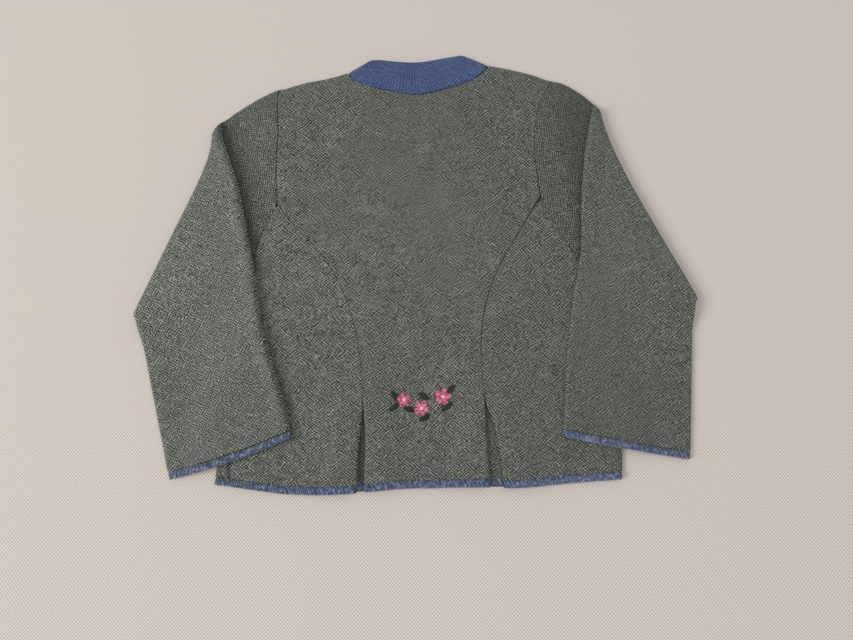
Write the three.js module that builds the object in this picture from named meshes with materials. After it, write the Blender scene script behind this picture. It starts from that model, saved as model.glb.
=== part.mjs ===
// A child's boiled-wool cardigan, laid face down with its back up and both sleeves folded over
// the back. Millimetres, +X to the right, +Y from the hem to the neck, +Z up from the table.
// Every piece of cloth is a closed wall, made as a grid of outer and inner points.
import * as THREE from 'three';
import { mergeVertices } from 'three/addons/utils/BufferGeometryUtils.js';

// ---- driving dimensions -------------------------------------------------------------------
const WOOL = 2.0; // thickness of the boiled wool
const INSET_WOOL = 1.6; // pressed wool of the pleat insets
const SEAM_GAP = 0.3; // space kept between sewn pieces
const LAYER_GAP = 0.6; // space between two layers that lie on each other
const BACK_Z = WOOL + LAYER_GAP; // underside of the back, which lies on the fronts
const FLAT_T = BACK_Z + WOOL; // height of two layers, and of a flattened sleeve
const FOLD_Z = FLAT_T / 2; // height at which front and back meet at a folded edge
const SOFT = 5.0; // width over which a folded edge rounds away
const SOFT_SHARE = 0.3; // most of a narrow piece's width that its rounded edge takes
const EDGING = 6.5; // width of the yarn edging on hem and cuffs
const EDGING_PROUD = 0.35; // how far the edging stands above the wool
const EDGING_ROUND = 0.6; // how far its free edge is rounded off

const PLEAT_TOP = 76; // height of the top of the pleats above the hem line
const PLEAT_DEPTH = { top: 5, hem: 15 }; // depth of the inset behind each pleat edge
const PLEAT_LEVEL = 7; // width over which a panel stays level past the inset
const PLEAT_EASE = 20; // width over which it then comes down
const PLEAT_FADE = { from: 6, to: 34 }; // heights above the pleat over which the lift ends
const INSET_SHORT = 2; // how far the inset ends below the top of the pleat
const INSET_CLEAR = 0.6; // how far the inset's cut edges lie inside the pleat's edges
const INSET_LOW = WOOL + 0.4; // underside of the inset's lower layer
const INSET_HIGH = INSET_LOW + INSET_WOOL + 0.3; // underside of its upper layer
const PLEAT_LIFT = INSET_HIGH + INSET_WOOL + 0.3 - BACK_Z; // lift of the panels over the inset

const FRONT_GAP = 0.8; // space between the two fronts
const CHEST_Y = 300; // height at which the fronts' columns stand below their upper ends
const POINT_CUT = 3; // how far the side back's point ends below the seams' meeting
const TOP_DRAW = 0.55; // share of the height from which columns draw to their upper ends
const UNDERARM_EASE = 1.2; // extra space where the armhole turns sharply under the arm
const CREASE_R = 0.3; // inner radius of the folded sleeve
const FLAP_Z = FLAT_T + 2 * CREASE_R; // underside of a sleeve where it lies on cloth
const BRIDGE = 11; // how far the sleeve carries on level past an edge below it
const DROP = 20; // width over which it then comes down to the table
const CREASE_REACH = 0.25; // share of the folded part over which it keeps the crease's bends
const TOP_REACH = 0.5; // share of the width over which the first part keeps its edge's bends
const FLAP_ROWS = 16; // rows along the folded part

const COLLAR_RIBS = 44; // ribs across the back of the collar
const RIB_HIGH = 0.5; // height of a rib
const COLLAR_GAP = 0.75; // space between collar and neckline
const COLLAR_SOFT = 4.0; // width over which the folded collar rounds away

// ---- outline tables -----------------------------------------------------------------------
const table = (names, rows) =>
  rows.map((row) => Object.fromEntries(names.map((name, i) => [name, row[i]])));

const HEM = table(['x', 'y'], [
  [-186, 4.5], [-156, 0.6], [-126, -3.5], [-104, -4.4], [-76, -4], [-54, -2.6], [-49, -1.4],
  [-16, 1.1], [11, 1.4], [46, 2.5], [63, 2.5], [75, 1.8], [100, 2.8], [142, 6.1], [187, 9],
]);
const ARMHOLE = {
  left: table(['y', 'x'], [
    [206, -168], [214, -163.5], [226, -157.5], [248, -150.8], [261, -147.3], [287, -144.9],
    [314, -145], [338, -144.6], [358, -145.7], [376, -145.8], [402.4, -145.4],
  ]),
  right: table(['y', 'x'], [
    [207, 162], [214, 155.5], [228, 147.5], [242, 139.3], [267, 127.7], [287, 121.6],
    [305, 119.4], [337, 117.6], [365, 120.3], [388, 127.2], [412.8, 141],
  ]),
};
const PRINCESS = {
  left: table(['y', 'x'], [
    [PLEAT_TOP, -50.6], [104, -52.2], [126, -55.8], [151, -61.3], [170, -66.5], [190, -75.9],
    [209, -87.2], [234, -107.6], [255, -127.6], [273, -146],
  ]),
  right: table(['y', 'x'], [
    [PLEAT_TOP, 61.3], [88, 60.7], [109, 59.3], [128, 58.4], [148, 59.4], [164, 62.2],
    [181, 67.3], [193, 72.7], [211, 80], [230, 91.7], [241, 98.2], [266, 113.2], [281, 123.5],
  ]),
};
const SIDE_EDGE = {
  left: table(['y', 'x'], [
    [-5, -184], [25, -181.4], [52, -180.6], [88, -176.5], [135, -171], [174, -168], [206, -168],
  ]),
  right: table(['y', 'x'], [
    [5, 183.4], [21, 184.6], [35, 186.4], [52, 183.4], [88, 175], [135, 167], [174, 162.6],
    [207, 162],
  ]),
};
const PLEAT_EDGE = {
  left: table(['y', 'centre', 'side'], [
    [-6, -48.8, -54.2], [15.5, -48.4, -54.5], [35, -47.8, -54.3], [48.5, -48.1, -52.4],
    [66, -49.6, -51.4], [PLEAT_TOP, -50.4, -50.8],
  ]),
  right: table(['y', 'centre', 'side'], [
    [-6, 65, 75.8], [15.4, 64.2, 75.9], [29, 63.3, 75], [42.3, 62.3, 72.6],
    [55.6, 61.7, 70.1], [66, 61.4, 66.4], [PLEAT_TOP, 61.1, 61.5],
  ]),
};

// shoulders and neckline of the back, left to right, and the collar's free edge above it
const SHOULDERS = table(['x', 'y'], [
  [-145.4, 402.4], [-139, 406.6], [-130, 409], [-110.6, 412.3], [-91.7, 415.7], [-82.3, 418.9],
  [-76.4, 421.6], [74.4, 430.2], [84, 426.8], [100.8, 425.7], [117.6, 420.9], [134.4, 415.2],
  [141, 412.8],
]);
const NECK_BACK = table(['x', 'y'], [
  [-76.4, 421.6], [-69.3, 412.3], [-56.4, 405.8], [-40.2, 401.4], [-18.9, 396.5], [-2.9, 395],
  [13.1, 397.5], [34.4, 403.2], [50.6, 409.2], [64.7, 418], [74.4, 430.2],
]);
const COLLAR_BACK = table(['x', 'y'], [
  [-53.5, 436.2], [-41.5, 436.8], [-28, 435.3], [-10, 434.1], [4, 434.8], [20, 437.9],
  [33.5, 440.5], [46.6, 443],
]);
// the front neckline and the collar's free edge inside it, from the shoulder to centre front
const NECK_FRONT = {
  left: table(['x', 'y'], [
    [-76.4, 421.6], [-73.5, 401], [-66, 378], [-48, 362], [-24, 354.5], [-FRONT_GAP / 2, 352],
  ]),
  right: table(['x', 'y'], [
    [74.4, 430.2], [73.2, 405], [66, 379], [48, 362], [24, 354.5], [FRONT_GAP / 2, 352],
  ]),
};
const COLLAR_FRONT = {
  left: table(['x', 'y'], [
    [-53.5, 436.2], [-45, 420], [-38, 406], [-28, 397], [-14, 391.5], [-FRONT_GAP / 2, 389.5],
  ]),
  right: table(['x', 'y'], [
    [46.6, 443], [43, 423], [37, 407], [28, 397], [14, 391.5], [FRONT_GAP / 2, 389.5],
  ]),
};

// the folded sleeves: the top edge of the first part from the armhole's tip, the outside of the
// crease from the top edge to the underarm edge, the top edge of the part that comes back over
// the body, and the far end of the cuff with the bow between its ends
const SLEEVE = {
  left: {
    side: -1,
    firstTop: [
      [-157.4, 397.3], [-166.6, 392.5], [-175.6, 386.3], [-184.6, 380], [-193.5, 373.4],
      [-198.6, 369.2],
    ],
    crease: [
      [-206.8, 365.2], [-209, 357.5], [-211.5, 349.2], [-212.6, 340.5], [-213, 331],
      [-214.3, 317.6], [-217.1, 309.5], [-222.4, 294.4], [-228.1, 279.3], [-251, 217.5],
      [-273.2, 157],
    ],
    foldedTop: [
      [-201.9, 353.6], [-192.7, 326.9], [-184.5, 301.6], [-176.5, 276.8], [-168.8, 243.9],
      [-159.7, 208.7], [-153.2, 174.3], [-147.3, 147.6], [-139.4, 124.7], [-129.6, 95.8],
      [-121.3, 73.8], [-113.5, 46],
    ],
    cuffUnder: [-224, 8.6],
    cuffBow: 3,
  },
  right: {
    side: 1,
    firstTop: [
      [147, 411.6], [151.5, 409.8], [159.3, 404.9], [167.4, 399.1], [175.4, 392.4], [180, 387.6],
    ],
    crease: [
      [187.8, 382.6], [189.2, 369.5], [191.4, 360], [193, 351.2], [194.8, 342], [197.6, 332.8],
      [204, 315], [211.5, 297.5], [219, 280.2], [226.6, 263], [238.8, 237.8], [268.8, 174],
    ],
    foldedTop: [
      [176.8, 356], [174.2, 340.6], [171.7, 326.7], [167.7, 303.6], [164.9, 286.2],
      [161, 251.2], [156.6, 212.1], [152.9, 198], [147.6, 174.2], [143.2, 148],
      [139.1, 125.1], [136.4, 100.9], [134.3, 77.1], [130.4, 47],
    ],
    cuffUnder: [246.5, 26],
    cuffBow: 1,
  },
};

// heights of the rows of each side: hem to underarm, underarm to princess seam, to shoulder
const LEVELS = {
  left: [22, 42, 60, PLEAT_TOP, 108, 144, 178, 206, 218, 236, 256, 273, 302, 336, 366, 386],
  right: [24, 42, 60, PLEAT_TOP, 108, 144, 178, 207, 220, 238, 260, 281, 308, 340, 370, 394],
};
const PLEAT_ROUND_ROW = 2; // up to here a pleat's edges are rounded
const UNDERARM_ROW = 7;
const PRINCESS_ROW = 11;
const SIDES = ['left', 'right'];

// ---- small helpers ------------------------------------------------------------------------
const lerp = (a, b, t) => a + (b - a) * t;
const clamp01 = (t) => Math.min(1, Math.max(0, t));
const smoothstep = (a, b, t) => {
  const s = clamp01((t - a) / (b - a));
  return s * s * (3 - 2 * s);
};
const range = (n) => Array.from({ length: n }, (_, i) => i);
const radians = (deg) => (deg * Math.PI) / 180;
const bySide = (make) => Object.fromEntries(SIDES.map((side) => [side, make(side)]));

// a smooth function through a table, monotone between its rows
function through(rows, from, to) {
  const sorted = [...rows].sort((a, b) => a[from] - b[from]);
  const xs = sorted.map((row) => row[from]);
  const ys = sorted.map((row) => row[to]);
  const last = xs.length - 1;
  const steps = range(last).map((i) => (ys[i + 1] - ys[i]) / (xs[i + 1] - xs[i]));
  const slopes = xs.map((_, i) => {
    if (i === 0) return steps[0];
    if (i === last) return steps[last - 1];
    const [a, b] = [steps[i - 1], steps[i]];
    return a * b <= 0 ? 0 : (2 * a * b) / (a + b);
  });
  return (x) => {
    if (x <= xs[0]) return ys[0];
    if (x >= xs[last]) return ys[last];
    const i = xs.findIndex((value) => value > x) - 1;
    const h = xs[i + 1] - xs[i];
    const t = (x - xs[i]) / h;
    const low = ys[i] * (1 + 2 * t) + slopes[i] * h * t;
    const high = ys[i + 1] * (3 - 2 * t) - slopes[i + 1] * h * (1 - t);
    return low * (1 - t) ** 2 + high * t * t;
  };
}

// a smooth curve in the plane through points, read by its share of the length
function along(points) {
  const vectors = points.map(([x, y]) => new THREE.Vector3(x, y, 0));
  const curve = new THREE.CatmullRomCurve3(vectors, false, 'centripetal');
  curve.arcLengthDivisions = 400;
  return { at: (t) => curve.getPointAt(clamp01(t)), length: curve.getLength() };
}
const alongTable = (rows) => along(rows.map((row) => [row.x, row.y]));

// the same with straight stretches between its points
function alongStraight(rows) {
  const path = new THREE.CurvePath();
  const vectors = rows.map((row) => new THREE.Vector3(row.x, row.y, 0));
  range(rows.length - 1).forEach((i) => path.add(new THREE.LineCurve3(vectors[i], vectors[i + 1])));
  return { at: (t) => path.getPoint(clamp01(t)), length: path.getLength() };
}

// a closed wall from a grid of outer and inner points; a tube's columns close on themselves
function wall(rows, cols, pointsAt, tube = false) {
  const points = [];
  range(rows).forEach((k) => range(cols).forEach((j) => points.push(...pointsAt(j, k))));
  const id = (j, k, side) => 2 * (k * cols + (j % cols)) + side;
  const faces = [];
  const quad = (a, b, c, d) => faces.push(a, b, c, a, c, d);
  const spans = tube ? cols : cols - 1;
  const end = rows - 1;
  range(spans).forEach((j) => {
    range(end).forEach((k) => {
      quad(id(j, k, 0), id(j + 1, k, 0), id(j + 1, k + 1, 0), id(j, k + 1, 0));
      quad(id(j, k, 1), id(j, k + 1, 1), id(j + 1, k + 1, 1), id(j + 1, k, 1));
    });
    quad(id(j, 0, 0), id(j, 0, 1), id(j + 1, 0, 1), id(j + 1, 0, 0));
    quad(id(j, end, 0), id(j + 1, end, 0), id(j + 1, end, 1), id(j, end, 1));
  });
  if (!tube) {
    range(end).forEach((k) => {
      quad(id(0, k, 0), id(0, k + 1, 0), id(0, k + 1, 1), id(0, k, 1));
      quad(id(spans, k, 0), id(spans, k, 1), id(spans, k + 1, 1), id(spans, k + 1, 0));
    });
  }
  const volume = range(faces.length / 3).reduce((sum, i) => {
    const [a, b, c] = [0, 1, 2].map((n) => points[faces[3 * i + n]]);
    return sum + a.dot(b.clone().cross(c));
  }, 0);
  if (volume < 0) faces.reverse();
  const geometry = new THREE.BufferGeometry();
  const positions = points.flatMap((point) => [point.x, point.y, point.z]);
  geometry.setAttribute('position', new THREE.Float32BufferAttribute(positions, 3));
  geometry.setIndex(faces);
  return mergeVertices(geometry, 1e-4);
}

// ---- materials and the group --------------------------------------------------------------
const wool = new THREE.MeshStandardMaterial({ color: 0x5c5f58, roughness: 0.95, metalness: 0 });
const rib = new THREE.MeshStandardMaterial({ color: 0x45567c, roughness: 0.9, metalness: 0 });
const yarn = new THREE.MeshStandardMaterial({ color: 0x5a6f9c, roughness: 0.85, metalness: 0 });

const garment = new THREE.Group();
function add(name, geometry, material) {
  const mesh = new THREE.Mesh(geometry, material);
  mesh.name = name;
  garment.add(mesh);
}

// ---- outlines as functions ----------------------------------------------------------------
const hemY = through(HEM, 'x', 'y');
const armholeX = bySide((side) => through(ARMHOLE[side], 'y', 'x'));
const princessX = bySide((side) => through(PRINCESS[side], 'y', 'x'));
const sideX = bySide((side) => through(SIDE_EDGE[side], 'y', 'x'));
const pleatX = bySide((side) => ({
  centre: through(PLEAT_EDGE[side], 'y', 'centre'),
  side: through(PLEAT_EDGE[side], 'y', 'side'),
}));
const shoulderY = through(SHOULDERS, 'x', 'y');
const neckY = through(NECK_BACK, 'x', 'y');
const underarmY = bySide((side) => LEVELS[side][UNDERARM_ROW]);
const shoulderTipY = bySide((side) => ARMHOLE[side][ARMHOLE[side].length - 1].y);
const pleatDepth = (y) => lerp(PLEAT_DEPTH.hem, PLEAT_DEPTH.top, clamp01(y / PLEAT_TOP));
const outward = { left: -1, right: 1 };

// underside of the back: level, and lifted over the insets of the pleats
function backUnder(x, y) {
  const lifted = SIDES.map((side) => {
    const edges = [pleatX[side].centre(y), pleatX[side].side(y)];
    const middle = (edges[0] + edges[1]) / 2;
    const half = Math.abs(edges[0] - edges[1]) / 2 + pleatDepth(y) + PLEAT_LEVEL;
    const aside = 1 - smoothstep(half, half + PLEAT_EASE, Math.abs(x - middle));
    return aside * (1 - smoothstep(PLEAT_TOP + PLEAT_FADE.from, PLEAT_TOP + PLEAT_FADE.to, y));
  });
  return BACK_Z + PLEAT_LIFT * Math.max(...lifted);
}

// ---- panels -------------------------------------------------------------------------------
// A layer gives the heights of its outer and inner face, and of its folded edges' ends.
const backLayer = {
  faces: (x, y) => [backUnder(x, y) + WOOL, backUnder(x, y)],
  foldZ: FOLD_Z + SEAM_GAP / 2,
};
const frontLayer = { faces: () => [0, WOOL], foldZ: FOLD_Z - SEAM_GAP / 2 };

// a rounded edge: how far in from the edge its outer and inner face are at an angle, and how
// far they have risen; an amount of 0 leaves the edge cut
const ROLL_ANGLES = [0, 45, 90];
const rollFaces = (angle, amount, soft) => {
  const open = 1 - Math.cos(radians(angle));
  return [soft * open, lerp(soft * open, WOOL + (soft - WOOL) * open, amount)];
};
const rollRise = (angle, amount) => lerp(1, Math.sin(radians(angle)), amount);

// x and rise of a column's two faces at a height. An edge is { x, rolled, foldZ }; a column is
// on an edge at a roll angle, or at a share of the width between the edges.
function across(col, edges, y) {
  const left = edges.left.x(y);
  const right = edges.right.x(y);
  const soft = Math.min(SOFT, (right - left) * SOFT_SHARE);
  if (!col.edge) return [0, 1].map(() => [lerp(left + soft, right - soft, col.share), 1]);
  const sign = col.edge === 'left' ? 1 : -1;
  const amount = edges[col.edge].rolled(y);
  const rise = rollRise(col.angle, amount);
  return rollFaces(col.angle, amount, soft).map((e) => [edges[col.edge].x(y) + sign * e, rise]);
}

// a panel from its inner columns and its rows, which are functions of a column; a top rounds
// the panel off at a shoulder, or ends it at a neckline
function panel({ inner, edges, rows, layer, top }) {
  const cols = [
    ...ROLL_ANGLES.map((angle) => ({ edge: 'left', angle, share: 0 })),
    ...inner,
    ...[...ROLL_ANGLES].reverse().map((angle) => ({ edge: 'right', angle, share: 1 })),
  ];
  const topAngles = top ? [...ROLL_ANGLES].reverse() : [];
  return wall(rows.length + topAngles.length, cols.length, (j, k) => [0, 1].map((face) => {
    const col = cols[j];
    const end = top ? top(col) : null;
    const angle = topAngles[k - rows.length];
    const rounding = angle !== undefined;
    const y = rounding ? end.y - rollFaces(angle, end.rolled, SOFT)[face] : rows[k](col);
    const [edgeX, edgeRise] = across(col, edges, y)[face];
    const drawn = end && !col.edge ? smoothstep(TOP_DRAW, 1, y / end.y) : 0;
    const x = drawn > 0 ? lerp(edgeX, end.x, drawn) : edgeX;
    const foldZ = col.edge ? edges[col.edge].foldZ(x, y) : layer.foldZ;
    const z = lerp(foldZ, layer.faces(x, y)[face], edgeRise);
    const rise = rounding ? rollRise(angle, end.rolled) : 1;
    return new THREE.Vector3(x, y, lerp(layer.foldZ, z, rise));
  }));
}

// rows from the hem to the top that pass the levels of both sides
function risingRows(levels, startY, endY) {
  const ends = [{ share: 0 }, { share: 1 }];
  const shares = levels.map((sideLevels, i) =>
    sideLevels.map((y) => (y - startY(ends[i])) / (endY(ends[i]) - startY(ends[i]))));
  return [
    startY,
    ...levels[0].map((_, k) => (col) =>
      lerp(startY(col), endY(col), lerp(shares[0][k], shares[1][k], col.share))),
  ];
}

// the kinds of edge
const sideSeam = (side, layer) => ({
  x: (y) => (y > underarmY[side]
    ? armholeX[side](y) - (outward[side] * SEAM_GAP) / 2
    : sideX[side](y)),
  rolled: (y) => (y > underarmY[side] + 1 ? 0 : 1),
  foldZ: () => layer.foldZ,
});
const princessSeam = (side, piece) => {
  const sign = outward[side] * (piece === 'centre' ? -1 : 1);
  return {
    x: (y) => (y < PLEAT_TOP ? pleatX[side][piece](y) : princessX[side](y) + (sign * SEAM_GAP) / 2),
    rolled: (y) => 1 - smoothstep(LEVELS[side][PLEAT_ROUND_ROW], PLEAT_TOP, y),
    foldZ: (x, y) => backUnder(x, y),
  };
};
// the centre back runs up the princess seam and then up the armhole
const centreSeam = (side) => ({
  ...princessSeam(side, 'centre'),
  x: (y) => (y < LEVELS[side][PRINCESS_ROW]
    ? princessSeam(side, 'centre').x(y)
    : armholeX[side](y) - (outward[side] * SEAM_GAP) / 2),
});
const cutEdge = (x) => ({ x: () => x, rolled: () => 0, foldZ: () => 0 });

// bottom of a panel, at the top of its yarn edging; the hem is read where the column meets it
const hemEnd = (edges) => (col) => {
  const x = lerp(edges.left.x(0), edges.right.x(0), col.share);
  return hemY(x);
};
const aboveEdging = (edges) => (col) => hemEnd(edges)(col) + EDGING + SEAM_GAP;

// yarn edging below a panel, rounded at its lower edge
function edgingOf({ inner, edges, layer }) {
  const hem = hemEnd(edges);
  const rows = [0, 1, EDGING].map((rise) => (col) => hem(col) + rise);
  const proud = layer === backLayer ? EDGING_PROUD : 0;
  const faces = (x, y) => {
    const [outer, under] = layer.faces(x, y);
    const rounded = y - hemY(x) < 0.5 ? EDGING_ROUND : 0;
    return layer === backLayer ? [outer + proud - rounded, under] : [outer, under - rounded];
  };
  return panel({ inner, edges, rows, layer: { ...layer, faces } });
}

// ---- centre back --------------------------------------------------------------------------
const centreEdges = bySide(centreSeam);
const centreSpan = [SHOULDERS[0].x + SOFT, SHOULDERS[SHOULDERS.length - 1].x - SOFT];
const neckEnds = [NECK_BACK[0].x, NECK_BACK[NECK_BACK.length - 1].x];
const centreTops = [
  -122, -98, neckEnds[0], -70, -58, -40, -20, -3, 14, 34, 51, 63, 70, neckEnds[1], 98, 120,
];
const centreInner = centreTops.map((x) => ({
  share: (x - centreSpan[0]) / (centreSpan[1] - centreSpan[0]),
  x,
}));
function centreTop(col) {
  const x = col.edge ? centreEdges[col.edge].x(shoulderTipY[col.edge]) : col.x;
  const onNeck = x > neckEnds[0] && x < neckEnds[1];
  const corner = neckEnds.includes(x);
  const lowered = col.edge ? shoulderTipY[col.edge] : shoulderY(x);
  return { x, y: onNeck ? neckY(x) : lowered, rolled: onNeck ? 0 : corner ? 0.5 : 1 };
}
// a plain share of 0 or 1 stands for an edge
const centreTopY = (col) => centreTop(col.edge || col.x !== undefined ? col
  : { edge: col.share === 0 ? 'left' : 'right' }).y;
add('back_centre', panel({
  inner: centreInner,
  edges: centreEdges,
  rows: risingRows([LEVELS.left, LEVELS.right], aboveEdging(centreEdges), centreTopY),
  layer: backLayer,
  top: centreTop,
}), wool);
add('hem_edging_back_centre', edgingOf({
  inner: centreInner.map(({ share }) => ({ share })),
  edges: centreEdges,
  layer: backLayer,
}), yarn);

// ---- side backs ---------------------------------------------------------------------------
// columns by their share of the width from the princess seam, close together beside the pleat
const SEAM_SHARES = [0.06, 0.13, 0.22, 0.36, 0.56, 0.78];
SIDES.forEach((side) => {
  const seam = princessSeam(side, 'side');
  const outer = sideSeam(side, backLayer);
  const edges = side === 'left' ? { left: outer, right: seam } : { left: seam, right: outer };
  const levels = LEVELS[side].slice(0, PRINCESS_ROW + 1);
  levels[PRINCESS_ROW] -= POINT_CUT;
  const endY = () => levels[PRINCESS_ROW];
  const shares = SEAM_SHARES.map((share) => (side === 'left' ? 1 - share : share));
  const inner = shares.sort((a, b) => a - b).map((share) => ({ share }));
  add(`back_side_${side}`, panel({
    inner,
    edges,
    rows: risingRows([levels, levels], aboveEdging(edges), endY),
    layer: backLayer,
  }), wool);
  add(`hem_edging_back_${side}`, edgingOf({ inner, edges, layer: backLayer }), yarn);
});

// ---- pleat insets: a strip with both ends turned back over it ---------------------------------
SIDES.forEach((side) => {
  const turn = (INSET_HIGH - INSET_LOW) / 2;
  const middleZ = (INSET_LOW + INSET_HIGH + INSET_WOOL) / 2;
  const halfWool = INSET_WOOL / 2;
  const turnAngles = [-90, -30, 30, 90];
  const topY = PLEAT_TOP - INSET_SHORT;
  const rowYs = [0.02, 0.2, 0.4, 0.6, 0.8, 1];
  // a column is a place on the strip: 'end' on the upper layer, 'turn' round the fold, 'floor'
  const half = (end) => [
    { end, kind: 'high', share: 0 },
    { end, kind: 'high', share: 0.5 },
    ...turnAngles.map((angle) => ({ end, kind: 'turn', angle: -angle })),
  ];
  const cols = [
    ...half(0),
    { kind: 'floor', share: 0.35 },
    { kind: 'floor', share: 0.65 },
    ...half(1).reverse(),
  ];
  add(`pleat_inset_${side}`, wall(rowYs.length, cols.length, (j, k) => {
    const col = cols[j];
    const ends = [pleatX[side].centre, pleatX[side].side].map((edge) => edge(rowYs[k] * topY));
    ends.sort((a, b) => a - b);
    const hem = hemY((ends[0] + ends[1]) / 2) + 1;
    const y = lerp(hem, topY, rowYs[k]);
    const depth = pleatDepth(y) - turn - halfWool;
    return [1, -1].map((face) => {
      if (col.kind === 'floor') {
        const x = lerp(ends[0] - depth, ends[1] + depth, col.share);
        return new THREE.Vector3(x, y, middleZ - turn + face * halfWool);
      }
      const sign = col.end === 0 ? -1 : 1;
      const turnX = ends[col.end] + sign * depth;
      if (col.kind === 'high') {
        const x = lerp(ends[col.end] + sign * INSET_CLEAR, turnX, col.share);
        return new THREE.Vector3(x, y, middleZ + turn - face * halfWool);
      }
      const r = turn - face * halfWool;
      const a = radians(col.angle);
      return new THREE.Vector3(turnX + sign * r * Math.cos(a), y, middleZ + r * Math.sin(a));
    });
  }), wool);
});

// ---- fronts, under the back ---------------------------------------------------------------
SIDES.forEach((side) => {
  const outer = sideSeam(side, frontLayer);
  const middle = cutEdge((outward[side] * FRONT_GAP) / 2);
  const edges = side === 'left' ? { left: outer, right: middle } : { left: middle, right: outer };
  const neck = NECK_FRONT[side];
  const neckStart = neck[0];
  const tipX = armholeX[side](shoulderTipY[side]);
  const shoulderXs = [0.33, 0.67].map((share) => lerp(tipX, neckStart.x, share));
  const tops = [
    ...shoulderXs.map((x) => ({ x, y: shoulderY(x), rolled: 1 })),
    { x: neckStart.x, y: neckStart.y, rolled: 0.5 },
    ...neck.slice(1, -1).map(({ x, y }) => ({ x, y, rolled: 0 })),
  ];
  if (side === 'right') tops.reverse();
  const bounds = [edges.left.x(CHEST_Y) + SOFT, edges.right.x(CHEST_Y) - SOFT];
  const shareOf = (x) => clamp01((x - bounds[0]) / (bounds[1] - bounds[0]));
  const inner = tops.map((top) => ({ share: shareOf(top.x), top }));
  const ends = {
    [side]: { x: tipX, y: shoulderTipY[side], rolled: 1 },
    [side === 'left' ? 'right' : 'left']: { x: middle.x(), y: neck[neck.length - 1].y, rolled: 0 },
  };
  const top = (col) => col.top ?? ends[col.edge ?? (col.share === 0 ? 'left' : 'right')];
  const own = LEVELS[side];
  const start = aboveEdging(edges);
  const endY = (col) => top(col).y;
  const far = { share: side === 'left' ? 1 : 0 };
  const near = { share: side === 'left' ? 0 : 1 };
  const scaled = own.map((y) =>
    lerp(start(far), endY(far), (y - start(near)) / (endY(near) - start(near))));
  add(`front_${side}`, panel({
    inner,
    edges,
    rows: risingRows(side === 'left' ? [own, scaled] : [scaled, own], start, endY),
    layer: frontLayer,
    top,
  }), wool);
  const plain = inner.map(({ share }) => ({ share }));
  add(`hem_edging_front_${side}`, edgingOf({ inner: plain, edges, layer: frontLayer }), yarn);
});

// ---- sleeves: flat tubes folded over the back along a slanting crease --------------------------
// shares down a sleeve's width at which it has columns: the levels of the armhole
const sleeveShares = bySide((side) => LEVELS[side].slice(UNDERARM_ROW + 1).reverse()
  .map((y) => (shoulderTipY[side] - y) / (shoulderTipY[side] - underarmY[side])));

// a sleeve's columns: upper layer, underarm fold, lower layer, fold of the top edge
function sleeveColumns(side) {
  const shares = sleeveShares[side].map((share) => ({ share }));
  const flat = [{ end: 0, angle: 90 }, ...shares, { end: 1, angle: 90 }];
  const upper = flat.map((col) => ({ ...col, high: 1 }));
  const lower = [...flat].reverse().map((col) => ({ ...col, high: -1 }));
  const turn = (end, angles) => angles.map((angle) => ({ end, angle, high: 1 }));
  return [...upper, ...turn(1, [45, 0, -45]), ...lower, ...turn(0, [-45, 0, 45])];
}

// place of a column's two faces: millimetres in from an end or a share, and height in the tube
function tubePlace(col, face) {
  const halfOpen = face === 0 ? FLAT_T / 2 : FLAT_T / 2 - WOOL;
  if (col.share !== undefined) return { share: col.share, h: FLAT_T / 2 + col.high * halfOpen };
  const inward = rollFaces(col.angle, 1, SOFT)[face];
  const rise = col.high * Math.sin(radians(col.angle));
  return { end: col.end, inward, h: FLAT_T / 2 + rise * halfOpen };
}

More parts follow.
